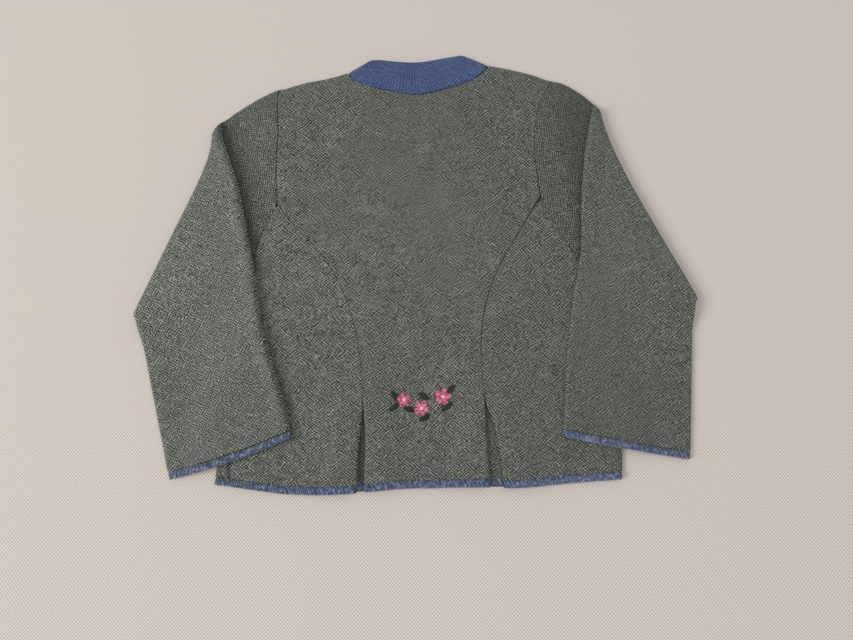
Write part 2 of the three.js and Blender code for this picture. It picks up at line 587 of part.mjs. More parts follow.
SIDES.forEach((side) => {
  const spec = SLEEVE[side];
  const cols = sleeveColumns(side);
  const vec = ([x, y]) => new THREE.Vector3(x, y, 0);
  const creaseTop = vec(spec.crease[0]);
  const creaseUnder = vec(spec.crease[spec.crease.length - 1]);
  const creaseDir = creaseUnder.clone().sub(creaseTop).normalize();
  const inwardDir = new THREE.Vector3(-spec.side * Math.abs(creaseDir.y), -Math.abs(creaseDir.x), 0);
  const axisZ = FLAT_T + CREASE_R;

  // the armhole and the axis of the crease, each by share from top edge to underarm
  const armholeAt = (w) => {
    const y = lerp(shoulderTipY[side], underarmY[side], w);
    const gap = SEAM_GAP / 2 + UNDERARM_EASE * smoothstep(0.85, 1, w);
    return new THREE.Vector3(armholeX[side](y) + spec.side * gap, y, 0);
  };
  const crease = along(spec.crease);
  const axisAt = (w) => crease.at(w).addScaledVector(inwardDir, axisZ);
  const flatPoint = (point) => [point.x, point.y];
  const bentFrom = (curveAt, from, to, share) =>
    curveAt(share).sub(from.clone().lerp(to, share));
  const creaseBend = (w) => bentFrom(axisAt, axisAt(0), axisAt(1), w);

  // the first part, from the armhole to the crease
  const firstTop = along([flatPoint(armholeAt(0)), ...spec.firstTop, flatPoint(axisAt(0))]);
  const armAt = (w, f) => armholeAt(w).lerp(axisAt(w), f)
    .addScaledVector(bentFrom(firstTop.at, armholeAt(0), axisAt(0), f), 1 - smoothstep(0, TOP_REACH, w));

  const topEdge = along([flatPoint(axisAt(0)), ...spec.foldedTop]);
  const cuffTop = topEdge.at(1);
  const cuffUnder = vec(spec.cuffUnder);
  const cuffDir = cuffUnder.clone().sub(cuffTop).normalize();
  const upSleeve = new THREE.Vector3(-spec.side * cuffDir.y, spec.side * cuffDir.x, 0);
  if (upSleeve.y < 0) upSleeve.negate();
  const clothEnd = EDGING + SEAM_GAP;
  const cuffAt = (w, up) => cuffTop.clone().lerp(cuffUnder, w)
    .addScaledVector(upSleeve, up - spec.cuffBow * 4 * w * (1 - w));

  // the part that comes back over the body
  function flapAt(w, f) {
    const topPoint = topEdge.at(f * (1 - clothEnd / topEdge.length));
    const underPoint = axisAt(1).lerp(cuffAt(1, clothEnd), f);
    const point = topPoint.lerp(underPoint, w);
    point.addScaledVector(creaseBend(w), 1 - smoothstep(0, CREASE_REACH, f));
    return point.addScaledVector(upSleeve, -spec.cuffBow * 4 * w * (1 - w) * f ** 3);
  }

  // height on which it lies: over the sleeve's own first part, over the body, or on the table
  const underLine = armholeAt(1);
  const lineDir = creaseUnder.clone().sub(underLine).normalize();
  const pastSleeve = (p) => {
    const d = p.clone().sub(underLine);
    return spec.side * (lineDir.y * d.x - lineDir.x * d.y);
  };
  const pastBody = (p) => spec.side * (p.x - sideX[side](p.y));
  const cover = (past) => 1 - smoothstep(BRIDGE, BRIDGE + DROP, past);
  const restZ = (p) => FLAP_Z * Math.max(cover(pastSleeve(p)), cover(pastBody(p)));

  // the sections in turn, each giving a point from the place across and the height in the tube
  const armShares = [0, 0.12, 0.3, 0.48, 0.66, 0.84];
  const bendAngles = [0, 36, 72, 108, 144, 180];
  const sections = [
    ...armShares.map((f) => (w, h) => armAt(w, f).setZ(h)),
    ...bendAngles.map((angle) => (w, h) => {
      const r = axisZ - h;
      const point = axisAt(w).addScaledVector(inwardDir, -r * Math.sin(radians(angle)));
      return point.setZ(axisZ - r * Math.cos(radians(angle)));
    }),
    ...range(FLAP_ROWS).map((i) => (w, h) => {
      const point = flapAt(w, (i + 1) / FLAP_ROWS);
      return point.setZ(restZ(point) + FLAT_T - h);
    }),
  ];
  const pointsOf = (section, col) => [0, 1].map((face) => {
    const place = tubePlace(col, face);
    if (place.share !== undefined) return section(place.share, place.h);
    const width = section(0, 0).distanceTo(section(1, 0));
    const w = place.end === 0 ? place.inward / width : 1 - place.inward / width;
    return section(w, place.h);
  });
  const tube = (count, sectionAt) =>
    wall(count, cols.length, (j, k) => pointsOf(sectionAt(k), cols[j]), true);
  add(`sleeve_${side}`, tube(sections.length, (k) => sections[k]), wool);

  const cuffRows = [EDGING, 1, 0];
  add(`cuff_edging_${side}`, tube(cuffRows.length, (k) => (w, h) => {
    const point = cuffAt(w, cuffRows[k]);
    const rounded = cuffRows[k] === 0 ? EDGING_ROUND : 0;
    const raised = h < WOOL / 2 ? h - EDGING_PROUD + rounded : h;
    return point.setZ(restZ(point) + FLAT_T - raised);
  }), yarn);
});

// ---- collar: a ribbed band, its back half on the upper layer, its fronts below it ---------------
const collarCurves = {
  back: { seam: alongTable(NECK_BACK), free: alongTable(COLLAR_BACK) },
  ...bySide((side) => ({
    seam: alongStraight(NECK_FRONT[side]),
    free: alongStraight(COLLAR_FRONT[side]),
  })),
};
const FRONT_SECTIONS = 7;
const BACK_SECTIONS = 2 * COLLAR_RIBS + 1;
const FOLD_ANGLES = [-45, 0, 45];
const COLLAR_HEIGHTS = [0, 0.45, 0.94, 1];

// sections from centre front to centre front; from says how far along its curves a section is
const shareAlong = (i, count) => i / (count - 1);
const frontSections = (side) => range(FRONT_SECTIONS).map((i) => ({
  curves: side,
  from: (curve) => lerp(COLLAR_SOFT / curve.length, 1, shareAlong(i, FRONT_SECTIONS)),
}));
const backSections = range(BACK_SECTIONS).map((i) => ({
  curves: 'back',
  crest: i % 2 === 1,
  from: (curve) => {
    const start = COLLAR_SOFT / curve.length;
    return lerp(start, 1 - start, shareAlong(i, BACK_SECTIONS));
  },
}));
const foldSections = (side) => FOLD_ANGLES.map((angle) => ({
  curves: angle < 0 ? side : 'back',
  angle,
  from: (curve, inward) => {
    const share = inward / curve.length;
    return angle >= 0 && side === 'right' ? 1 - share : share;
  },
}));
const collarSections = [
  ...frontSections('left').reverse(),
  ...foldSections('left'),
  ...backSections,
  ...foldSections('right').reverse(),
  ...frontSections('right'),
];
add('collar', wall(collarSections.length, COLLAR_HEIGHTS.length, (j, k) => {
  const section = collarSections[k];
  const share = COLLAR_HEIGHTS[j];
  const onFold = section.angle !== undefined;
  const thinned = share === 1 ? 0.6 : 0; // the free edge is knitted off rounded
  const ribbed = section.crest && share < 1 ? RIB_HIGH : 0;
  const faces = section.curves === 'back'
    ? [FLAT_T + ribbed - thinned, BACK_Z] : [0, WOOL - thinned];
  const rolled = rollFaces(Math.abs(section.angle ?? 90), 1, COLLAR_SOFT);
  return [0, 1].map((face) => {
    const { seam, free } = collarCurves[section.curves];
    const start = seam.at(section.from(seam, rolled[face]));
    const end = free.at(section.from(free, rolled[face]));
    start.addScaledVector(end.clone().sub(start).normalize(), COLLAR_GAP);
    const rise = onFold ? Math.sin(radians(Math.abs(section.angle))) : 1;
    return start.lerp(end, share).setZ(lerp(FOLD_Z, faces[face], rise));
  });
}), rib);

// ---- origin: the middle of the underside --------------------------------------------------
const box = new THREE.Box3().setFromObject(garment);
garment.position.set(-(box.min.x + box.max.x) / 2, -(box.min.y + box.max.y) / 2, -box.min.z);

export default garment;
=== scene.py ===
import math

import bpy
import numpy as np
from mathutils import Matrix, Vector, kdtree, noise


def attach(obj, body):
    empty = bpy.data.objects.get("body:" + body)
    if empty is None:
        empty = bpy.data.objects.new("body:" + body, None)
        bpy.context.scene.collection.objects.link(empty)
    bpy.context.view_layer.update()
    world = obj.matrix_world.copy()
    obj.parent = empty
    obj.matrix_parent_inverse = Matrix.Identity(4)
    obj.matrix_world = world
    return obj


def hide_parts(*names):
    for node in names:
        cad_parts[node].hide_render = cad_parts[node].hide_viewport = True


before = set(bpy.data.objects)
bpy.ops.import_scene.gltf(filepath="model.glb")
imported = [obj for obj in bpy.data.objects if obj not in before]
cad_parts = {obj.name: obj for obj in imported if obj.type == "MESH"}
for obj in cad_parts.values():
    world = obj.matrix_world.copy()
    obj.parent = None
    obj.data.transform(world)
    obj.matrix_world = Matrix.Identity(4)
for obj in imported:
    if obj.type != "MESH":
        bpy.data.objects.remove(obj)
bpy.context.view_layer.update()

# ---- Camera ------------------------------------------------------------------------------
# It stands above the hem and looks down on the back, tipped a little towards the neck.
CAMERA_PLACE = (0.00981, -0.15254, 0.45455)
CAMERA_TIP = math.radians(11)
CAMERA_LENS = 20.3

bpy.ops.object.camera_add(location=CAMERA_PLACE, rotation=(CAMERA_TIP, 0, 0))
camera = bpy.context.object
camera.name = "camera"
camera.data.lens = CAMERA_LENS
camera.data.sensor_width = 36
bpy.context.scene.camera = camera

# ---- Floor and light ---------------------------------------------------------------------
# A pale, finely woven floor cloth just under the cardigan. One soft lamp stands low on the
# left, a weak one on the right, and an even sky lights the rest.
FLOOR_COLOUR = (0.607, 0.541, 0.488)
FLOOR_WEAVE = (0.0030, 0.0032)  # the weave's two periods, in metres
SKY_COLOUR = (0.97, 0.985, 1.0)
SKY_STRENGTH = 0.60


def socket(tree, target, value):
    """Links a node's output to an input, or writes a plain value on it."""
    if isinstance(value, bpy.types.NodeSocket):
        tree.links.new(value, target)
    else:
        target.default_value = value


def new_finish(name, roughness, colour=(0.5, 0.5, 0.5), **constants):
    """A material with one Principled shader: its tree and its shader come back with it."""
    finish = bpy.data.materials.new(name)
    finish.use_nodes = True
    tree = finish.node_tree
    shader = tree.nodes["Principled BSDF"]
    shader.inputs["Roughness"].default_value = roughness
    shader.inputs["Base Color"].default_value = (*colour, 1)
    for key, value in constants.items():
        shader.inputs[key.replace("_", " ")].default_value = value
    return finish, tree, shader


def calc(tree, operation, *values):
    """One Math node."""
    node = tree.nodes.new("ShaderNodeMath")
    node.operation = operation
    for target, value in zip(node.inputs, values):
        socket(tree, target, value)
    return node.outputs[0]


def cloudy(tree, vector, scale, detail=2.0, roughness=0.5):
    """One Noise node, from 0 to 1, moved off the origin, where all its sizes would meet."""
    moved = tree.nodes.new("ShaderNodeVectorMath")
    tree.links.new(vector, moved.inputs[0])
    moved.inputs[1].default_value = (1.37, 0.73, 0)
    node = tree.nodes.new("ShaderNodeTexNoise")
    node.inputs["Scale"].default_value = scale
    node.inputs["Detail"].default_value = detail
    node.inputs["Roughness"].default_value = roughness
    tree.links.new(moved.outputs[0], node.inputs["Vector"])
    return node


def ramped(tree, share, *stops):
    """A colour ramp from its stops, each a position and a colour."""
    node = tree.nodes.new("ShaderNodeValToRGB")
    elements = node.color_ramp.elements
    while len(elements) < len(stops):
        elements.new(0.5)
    for element, (position, colour) in zip(elements, stops):
        element.position = position
        element.color = (*colour, 1)
    tree.links.new(share, node.inputs[0])
    return node.outputs[0]


def scaled_colour(tree, colour, level):
    """A colour made lighter or darker by a plain level."""
    node = tree.nodes.new("ShaderNodeVectorMath")
    node.operation = "SCALE"
    tree.links.new(colour, node.inputs[0])
    tree.links.new(level, node.inputs["Scale"])
    return node.outputs[0]


def bumped(tree, shader, height, strength, distance):
    """A Bump node on the shader's normal."""
    node = tree.nodes.new("ShaderNodeBump")
    node.inputs["Strength"].default_value = strength
    node.inputs["Distance"].default_value = distance
    tree.links.new(height, node.inputs["Height"])
    tree.links.new(node.outputs[0], shader.inputs["Normal"])


def object_place(tree):
    """The point's place on the object, in metres."""
    return tree.nodes.new("ShaderNodeTexCoord").outputs["Object"]


bpy.ops.mesh.primitive_plane_add(size=6, location=(0, 0, -0.0002))
floor = bpy.context.object
floor.name = "floor"
floor_finish, tree, shader = new_finish("floor_cloth", 0.95, FLOOR_COLOUR)
place = object_place(tree)
nap = cloudy(tree, place, 700, 2.0, 0.8).outputs[0]
level = calc(tree, "MULTIPLY_ADD", nap, 0.24, 0.88)
# the weave shows more clearly towards the hem
parts = tree.nodes.new("ShaderNodeSeparateXYZ")
tree.links.new(place, parts.inputs[0])
across, along = (
    calc(tree, "COSINE", calc(tree, "MULTIPLY", parts.outputs[i], 2 * math.pi / period))
    for i, period in enumerate(FLOOR_WEAVE))
clear = calc(tree, "MULTIPLY_ADD", parts.outputs[1], -0.8, 0.14)
clear = calc(tree, "MINIMUM", calc(tree, "MAXIMUM", clear, 0.04), 0.30)
level = calc(tree, "MULTIPLY_ADD", calc(tree, "MULTIPLY", across, along), clear, level)
plain = tree.nodes.new("ShaderNodeRGB")
plain.outputs[0].default_value = (*FLOOR_COLOUR, 1)
tree.links.new(scaled_colour(tree, plain.outputs[0], level), shader.inputs["Base Color"])
floor.data.materials.append(floor_finish)

for name, place, size, power in (
    ("lamp_key", (-4.1, -0.8, 2.6), 2.0, 165),
    ("lamp_fill", (1.6, 0.6, 2.4), 1.4, 7.0),
):
    bpy.ops.object.light_add(type="AREA", location=place)
    lamp = bpy.context.object
    lamp.name = name
    lamp.rotation_euler = (-Vector(place)).to_track_quat("-Z", "Y").to_euler()
    lamp.data.size = size
    lamp.data.energy = power

sky = bpy.data.worlds.new("sky")
bpy.context.scene.world = sky
sky.use_nodes = True
sky.node_tree.nodes["Background"].inputs["Color"].default_value = (*SKY_COLOUR, 1)
sky.node_tree.nodes["Background"].inputs["Strength"].default_value = SKY_STRENGTH
bpy.context.scene.view_settings.view_transform = "Standard"

# ---- Centre back -------------------------------------------------------------------------
# One panel of grey-green boiled wool from the hem to the shoulders and neckline. It lies face
# up on the two fronts, and is sewn to the side backs, the sleeves and the collar.
HEM_MIDDLE = (0.002250, -0.219303)  # where the middle of the hem is, in metres
WALE = 3.06  # millimetres from one column of stitches to the next
COURSE = 2.51  # millimetres from one row of stitches to the next, at the hem
SLEEVE_COURSE = 2.78  # the same on the sleeves
ROW_STRETCH = 0.00025  # how much wider apart the body's rows get, by millimetre of height
WALE_STRETCH = 0.00038  # the same for its columns
SEAM_CLOSE = 0.08  # how far each piece swells into a seam, in millimetres
SEAM_RIM = 0.8  # how far in a rim is rounded, in millimetres
SEAM_DEPTH = 0.65  # how far a seam pulls the cloth in
SEAM_HALF = 1.3  # half width of the groove over a seam
SEAM_PAINTED_SHADE = 0.38  # painted shade: share of the colour's paleness taken away at the groove's bottom
SEAM_SHADOW = (0.2, 1.1)  # how far from the seam this begins to fade, and ends
SEAM_CLOSURE = 0.7  # how much of the groove is gone where a seam nearly closes over
# places where it does: x, y and radius
SEAM_FADES = ((-145, 296, 26), (-138, 266, 14), (119, 362, 44), (152, 220, 20), (61, 106, 16))
SEAM_CORNERS = ((-146, 273), (123.5, 281))  # where the curved seams meet the armholes
CORNER_REACH = 3.5  # how far round such a corner the points are kept
BACK_BOTTOM = 2.25  # a height between the fronts and the back
# heights where the back's upper face begins and is whole, and where the folded sleeves begin
BACK_FACE = (3.0, 4.2, 5.4)
WOOL_DARK = (0.010, 0.012, 0.009)
WOOL_MIDDLE = (0.096, 0.104, 0.086)
WOOL_LIGHT = (0.400, 0.415, 0.345)
ARMHOLE_X = -146  # the left armhole, which is pulled out of line
ARMHOLE_HALF = 14  # how far the pull reaches to either side
ARMHOLE_PULL = (  # how far its seam goes right, by height above the hem
    (206, 0), (236, -3.0), (245, -2.2), (252, 0), (261, 1.4), (271, 3.6), (282, 2.7), (298, 0.9),
    (317, -0.6), (327, -1.0), (340, -0.3), (354, -0.3), (365, -1.2), (389, -3.1), (402, -2.0),
)
# soft folds of the resting cloth: two ends, half width and height, in millimetres
SOFT_FOLDS = (
    (-120, 300, -60, 232, 13, 0.7),
    (-146, 214, -96, 168, 12, -0.6),
    (-30, 330, 18, 262, 18, -0.5),
    (36, 372, 84, 300, 15, 0.6),
    (72, 250, 128, 214, 11, 0.9),
    (66, 176, 118, 232, 9, -0.7),
    (-44, 150, 34, 128, 15, 0.5),
    (-20, 58, 44, 34, 12, -0.35),
    (92, 116, 128, 60, 12, 0.55),
    (-104, 96, -66, 30, 10, 0.5),
    (-8, 400, 4, 346, 12, -0.5),
    (-232, 196, -196, 120, 14, 0.7),
    (-236, 100, -150, 74, 13, -0.6),
    (196, 250, 236, 160, 14, 0.6),
    (150, 110, 230, 88, 13, -0.6),
    (161, 336, 157, 292, 6, -1.3),
    (-172, 330, -160, 250, 9, 0.5),
)
UNEVEN = ((52, 0.45), (23, 0.22))  # widths and heights of the cloth's unevenness
SETTLING = (0.4, 4.4)  # heights above the table at which the folds begin, and are whole


def take_points(piece):
    """The piece's points in millimetres from the middle of the hem."""
    flat = np.zeros(len(piece.data.vertices) * 3, np.float32)
    piece.data.vertices.foreach_get("co", flat)
    points = flat.reshape(-1, 3).astype(float) * 1000
    points[:, :2] -= np.array(HEM_MIDDLE) * 1000
    return points


def put_points(piece, points):
    """Writes such points back."""
    metres = points / 1000
    metres[:, :2] += HEM_MIDDLE
    piece.data.vertices.foreach_set("co", metres.astype(np.float32).ravel())
    piece.data.update()


def eased(low, high, value):
    """Goes smoothly from 0 at the low end to 1 at the high end."""
    share = np.clip((value - low) / (high - low), 0, 1)
    return share * share * (3 - 2 * share)


def cut_copy(node, name, moves=()):
    """A copy of a cut piece's solid, with its loose triangles joined into quads. Each move
    shifts the points at one place to the right."""
    bpy.ops.object.select_all(action="DESELECT")
    piece = bpy.data.objects.new(name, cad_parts[node].data.copy())
    bpy.context.scene.collection.objects.link(piece)
    bpy.context.view_layer.objects.active = piece
    piece.select_set(True)
    piece.data.materials.clear()
    while piece.data.uv_layers:
        piece.data.uv_layers.remove(piece.data.uv_layers[0])
    bpy.ops.mesh.customdata_custom_splitnormals_clear()
    bpy.ops.object.mode_set(mode="EDIT")
    bpy.ops.mesh.select_mode(type="EDGE")
    bpy.ops.mesh.select_all(action="SELECT")
    bpy.ops.mesh.remove_doubles(threshold=0.00002)
    bpy.ops.object.mode_set(mode="OBJECT")
    points = take_points(piece)
    for x, y, along in moves:
        points[np.hypot(*(points[:, :2] - (x, y)).T) < 1.5, 0] += along
    put_points(piece, points)
    bpy.ops.object.mode_set(mode="EDIT")
    bpy.ops.mesh.tris_convert_to_quads(face_threshold=1.2, shape_threshold=1.2)
    bpy.ops.object.mode_set(mode="OBJECT")
    return piece


def make_finer(piece, levels, crease=0.0, rim=0.0):
    """Creases or rounds its rims and gives it a finer mesh, with the seams' corners kept."""
    bpy.ops.object.mode_set(mode="EDIT")
    bpy.ops.mesh.select_all(action="DESELECT")
    bpy.ops.mesh.edges_select_sharp(sharpness=math.radians(60))
    if rim:
        bpy.ops.mesh.bevel(offset=rim / 1000, segments=2, clamp_overlap=True)
    else:
        bpy.ops.transform.edge_crease(value=crease)
    bpy.ops.object.mode_set(mode="OBJECT")
    points = take_points(piece)
    corner = np.zeros(len(points), np.float32)
    for place in SEAM_CORNERS:
        close = np.hypot(*(points[:, :2] - place).T) < CORNER_REACH
        corner[close & (points[:, 2] > BACK_BOTTOM)] = 1
    piece.data.attributes.new("crease_vert", "FLOAT", "POINT").data.foreach_set("value", corner)
    refine = piece.modifiers.new("finer", "SUBSURF")
    refine.levels = refine.render_levels = levels
    bpy.ops.object.modifier_apply(modifier=refine.name)
    bpy.ops.object.shade_smooth()


def map_stitches(piece, turn=0.0, unfold=None):
    """Writes the UV map that counts stitches: u across the wales, v along the courses. The body
    is stretched a little towards the shoulders."""
    c, s = math.cos(math.radians(turn)), math.sin(math.radians(turn))
    if unfold:
        points, course = unfold(take_points(piece)), SLEEVE_COURSE
    else:
        points, course = take_points(piece)[:, :2], COURSE
        points[:, 0] /= 1 + WALE_STRETCH * points[:, 1]
        points[:, 1] -= ROW_STRETCH * points[:, 1] ** 2
    counted = np.column_stack([
        (points[:, 0] * c + points[:, 1] * s) / WALE,
        (points[:, 1] * c - points[:, 0] * s) / course,
    ])
    layer = piece.data.uv_layers.new(name="stitches")
    corner = np.zeros(len(piece.data.loops), np.int32)
    piece.data.loops.foreach_get("vertex_index", corner)
    layer.data.foreach_set("uv", counted[corner].astype(np.float32).ravel())


def write_painted_shading(piece, shade):
    """Writes the painted light and shade: how pale each point is, where 1 is plain and 0 is black.
    """
    layer = piece.data.attributes.new("shade", "FLOAT", "POINT")
    values = np.broadcast_to(shade, len(piece.data.vertices)).astype(np.float32)
    layer.data.foreach_set("value", np.ascontiguousarray(values))


def upright_rim(piece, low, high):
    """The places of its upright rims, between two heights above the hem."""
    points = take_points(piece)
    normals = np.zeros(len(points) * 3, np.float32)
    piece.data.vertices.foreach_get("normal", normals)
    upright = np.abs(normals.reshape(-1, 3)[:, 2]) < 0.6
    return points[upright & (points[:, 1] > low) & (points[:, 1] < high) & (points[:, 2] > 2.5), :2]


def press_seams(piece, rim, shade=1.0):
    """Sinks its upper face into the seams along a rim, and writes how pale the cloth is: the given
    painted light, with painted shade along the groove.
    """
    tree = kdtree.KDTree(len(rim))
    for i, (x, y) in enumerate(rim):
        tree.insert((x, y, 0), i)
    tree.balance()
    points = take_points(piece)
    gap = np.array([tree.find((x, y, 0))[2] for x, y, _ in points])
    begin, whole, end = BACK_FACE
    upper = eased(begin, whole, points[:, 2]) * (points[:, 2] < end)
    for x, y, radius in SEAM_FADES:
        upper *= 1 - SEAM_CLOSURE * np.exp(-((points[:, :2] - (x, y)) ** 2).sum(1) / radius**2)
    points[:, 2] -= SEAM_DEPTH * (1 - eased(0, SEAM_HALF, gap)) * upper
    put_points(piece, points)
    write_painted_shading(piece, shade * (1 - SEAM_PAINTED_SHADE * (1 - eased(*SEAM_SHADOW, gap)) * upper))


def back_painted_light(piece):
    """Painted light on the back: it is painted palest at the hem and darker towards the neck and a
    little to the right, away from the lamp.
    """
    x, y, _ = take_points(piece).T
    return 1.0 - 0.11 * eased(50, 150, y) - 0.06 * eased(150, 340, y) - 0.0004 * x


def settle(piece):
    """Swells it into its seams, pulls the left armhole out of line, and lets the layers rise
    and sink together in soft folds."""
    points = take_points(piece)
    normals = np.zeros(len(points) * 3, np.float32)
    piece.data.vertices.foreach_get("normal", normals)
    points[:, :2] += normals.reshape(-1, 3)[:, :2] * SEAM_CLOSE
    x, y, z = points.T
    x += np.interp(y, *zip(*ARMHOLE_PULL)) * np.exp(-(((x - ARMHOLE_X) / ARMHOLE_HALF) ** 2))
    rise = np.zeros(len(points))
    for x0, y0, x1, y1, half, high in SOFT_FOLDS:
        line = np.array([x1 - x0, y1 - y0], float)
        length = np.hypot(*line)
        line /= length
        run = (x - x0) * line[0] + (y - y0) * line[1]
        aside = (y - y0) * line[0] - (x - x0) * line[1]
        ends = eased(-half, half, run) * eased(-half, half, length - run)
        rise += high * ends * np.exp(-((aside / half) ** 2))
    for size, high in UNEVEN:
        rise += high * np.array([
            noise.noise(Vector((a / size, b / size, 3))) for a, b in zip(x, y)])
    points[:, 2] += rise * eased(*SETTLING, z)
    put_points(piece, points)


def knitted(name, dark, middle, light, contrast=1.0, bump=0.0010, trim=None):
    """Felted knitting: a lattice of stitches that the felting has pulled about and blurred in
    places, with pale and dark fibres in it. A trim's three colours replace the wool's own with
    a ragged border, where the point attribute "covered" passes zero."""
    finish, tree, shader = new_finish(
        name, 0.95, Sheen_Weight=0.15, Sheen_Roughness=0.6, Specular_IOR_Level=0.1)
    uv = tree.nodes.new("ShaderNodeUVMap")
    uv.uv_map = "stitches"
    pull = tree.nodes.new("ShaderNodeVectorMath")
    pull.operation = "MULTIPLY_ADD"
    tree.links.new(cloudy(tree, uv.outputs[0], 0.38, 1.0).outputs["Color"], pull.inputs[0])
    pull.inputs[1].default_value = (1.5, 1.5, 0)
    tree.links.new(uv.outputs[0], pull.inputs[2])
    parts = tree.nodes.new("ShaderNodeSeparateXYZ")
    tree.links.new(pull.outputs[0], parts.inputs[0])
    wales, courses = (
        calc(tree, "COSINE", calc(tree, "MULTIPLY", parts.outputs[i], 2 * math.pi)) for i in (0, 1))
    place = object_place(tree)
    felted = cloudy(tree, uv.outputs[0], 0.55, 1.0).outputs[0]
    clear = calc(tree, "MULTIPLY_ADD", felted, 2.8, -0.3)
    stitch = calc(tree, "MULTIPLY", calc(tree, "MULTIPLY", wales, courses), clear)
    fleck = calc(tree, "SUBTRACT", cloudy(tree, place, 540, 0.0).outputs[0], 0.5)
    mottle = calc(tree, "SUBTRACT", cloudy(tree, place, 120, 1.0, 0.9).outputs[0], 0.5)
    patch = cloudy(tree, place, 34, 3.0, 0.6).outputs[0]
    height = calc(tree, "MULTIPLY_ADD", stitch, 0.5, fleck)
    bumped(tree, shader, height, 1.0, bump)
    tone = calc(tree, "MULTIPLY_ADD", fleck, 0.7, calc(tree, "MULTIPLY", stitch, 0.45))
    tone = calc(tree, "MULTIPLY_ADD", mottle, 0.17, tone)
    parts = tree.nodes.new("ShaderNodeSeparateXYZ")
    tree.links.new(place, parts.inputs[0])
    # the stitches show most at half height, and less towards the hem and the neck
    above = calc(tree, "SUBTRACT", parts.outputs[1], HEM_MIDDLE[1])
    marked = calc(tree, "MINIMUM", calc(tree, "MULTIPLY_ADD", above, 4.5, 0.80),
                  calc(tree, "MULTIPLY_ADD", above, -4.0, 2.6))
    tone = calc(tree, "MULTIPLY_ADD", tone, calc(tree, "MULTIPLY", marked, contrast), 0.5)
    colour = ramped(tree, tone, (0.08, dark), (0.5, middle), (0.95, light))
    if trim:
        covered = tree.nodes.new("ShaderNodeAttribute")
        covered.attribute_name = "covered"
        ragged = cloudy(tree, place, 420, 1.0).outputs[0]
        share = calc(tree, "MULTIPLY_ADD", ragged, 3.2, -1.1)
        share = calc(tree, "MULTIPLY_ADD", covered.outputs["Fac"], 0.9, share)
        mix = tree.nodes.new("ShaderNodeMix")
        mix.data_type = "RGBA"
        mix.clamp_factor = True
        tree.links.new(share, mix.inputs["Factor"])
        tree.links.new(colour, mix.inputs[6])
        tree.links.new(ramped(tree, tone, *zip((0.08, 0.5, 0.95), trim)), mix.inputs[7])
        colour = mix.outputs[2]
    # the painted light and shade that each piece writes on its points
    shade = tree.nodes.new("ShaderNodeAttribute")
    shade.attribute_name = "shade"
    level = calc(tree, "MULTIPLY_ADD", patch, 0.34, 0.83)
    level = calc(tree, "MULTIPLY", level, shade.outputs["Fac"])
    tree.links.new(scaled_colour(tree, colour, level), shader.inputs["Base Color"])
    return finish


def dressed(piece, finish, slot, *nodes):
    """Gives a finished piece its material and its place on the body. Its slot is not used."""
    piece.data.materials.append(finish)
    if nodes:
        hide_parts(*nodes)
    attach(piece, "root")


wool = knitted("boiled_wool", WOOL_DARK, WOOL_MIDDLE, WOOL_LIGHT)
sleeve_wool = knitted("sleeve_wool", WOOL_DARK, WOOL_MIDDLE, WOOL_LIGHT, 0.70)
centre = cut_copy("back_centre", "cloth_back_centre")
make_finer(centre, 2, rim=SEAM_RIM)
map_stitches(centre)
back_rim = upright_rim(centre, 82, 400)
# painted light on the back, with painted shade in its seams
press_seams(centre, back_rim, back_painted_light(centre))
settle(centre)
dressed(centre, wool, "wool", "back_centre")

# ---- Embroidered flowers -----------------------------------------------------------------
# A small spray sewn on the centre back above the hem: three pink flowers of five petals in
# padded satin stitch, each with a pale knot, and seven dark green leaves in slanting stitches.
# each flower's place, radius and turn, and each leaf's two ends
FLOWERS = ((-13.0, 79.2, 7.3, 100), (3.3, 71.4, 7.8, 62), (23.1, 82.0, 8.5, 78))
LEAVES = (
    ((-18.7, 77.6), (-25.0, 87.0)), ((-18.1, 75.6), (-26.0, 69.4)), ((-12.7, 72.1), (-3.0, 68.6)),
    ((9.8, 79.9), (-0.3, 84.8)), ((10.3, 65.9), (1.0, 60.3)), ((26.7, 85.4), (33.6, 92.4)),
    ((31.3, 77.0), (21.6, 69.4)),
)
PETAL_STRANDS = 9  # threads across a petal
PETAL_SPREAD = 27  # degrees from a petal's middle thread to its outer ones
PADDING = 1.25  # how high a petal's middle stands, in millimetres
THREAD = 0.42  # radius of the embroidery yarn
LEAF_HALF = 2.7  # half width of a leaf
PINK = ((0.20, 0.012, 0.045), (0.62, 0.095, 0.22), (0.98, 0.48, 0.62))
PALE_PINK = ((0.80, 0.30, 0.42), (0.95, 0.55, 0.62), (1.0, 0.80, 0.84))
GREEN = ((0.002, 0.006, 0.004), (0.007, 0.019, 0.014), (0.024, 0.048, 0.034))


def height_of(piece):
    """Gives the height of a piece's upper face at a place, in millimetres."""
    bpy.context.view_layer.update()

    def height(x, y):
        start = (x / 1000 + HEM_MIDDLE[0], y / 1000 + HEM_MIDDLE[1], 0.05)
        found, place, _, _ = piece.ray_cast(start, (0, 0, -1))
        return place.z * 1000 if found else None

    return height


def strands(name, runs, radius):
    """Lengths of round yarn. Each run is a row of points with the yarn's thickness there."""
    bpy.ops.object.select_all(action="DESELECT")
    curve = bpy.data.curves.new(name, "CURVE")
    curve.dimensions = "3D"
    curve.bevel_depth = radius / 1000
    curve.bevel_resolution = 1
    curve.use_fill_caps = True
    for run in runs:
        spline = curve.splines.new("POLY")
        spline.points.add(len(run) - 1)
        for point, (x, y, z, thick) in zip(spline.points, run):
            point.co = (x / 1000 + HEM_MIDDLE[0], y / 1000 + HEM_MIDDLE[1], z / 1000, 1)
            point.radius = thick
    piece = bpy.data.objects.new(name, curve)
    bpy.context.scene.collection.objects.link(piece)
    bpy.context.view_layer.objects.active = piece
    piece.select_set(True)
    bpy.ops.object.convert(target="MESH")
    bpy.ops.object.shade_smooth()
    return bpy.context.object


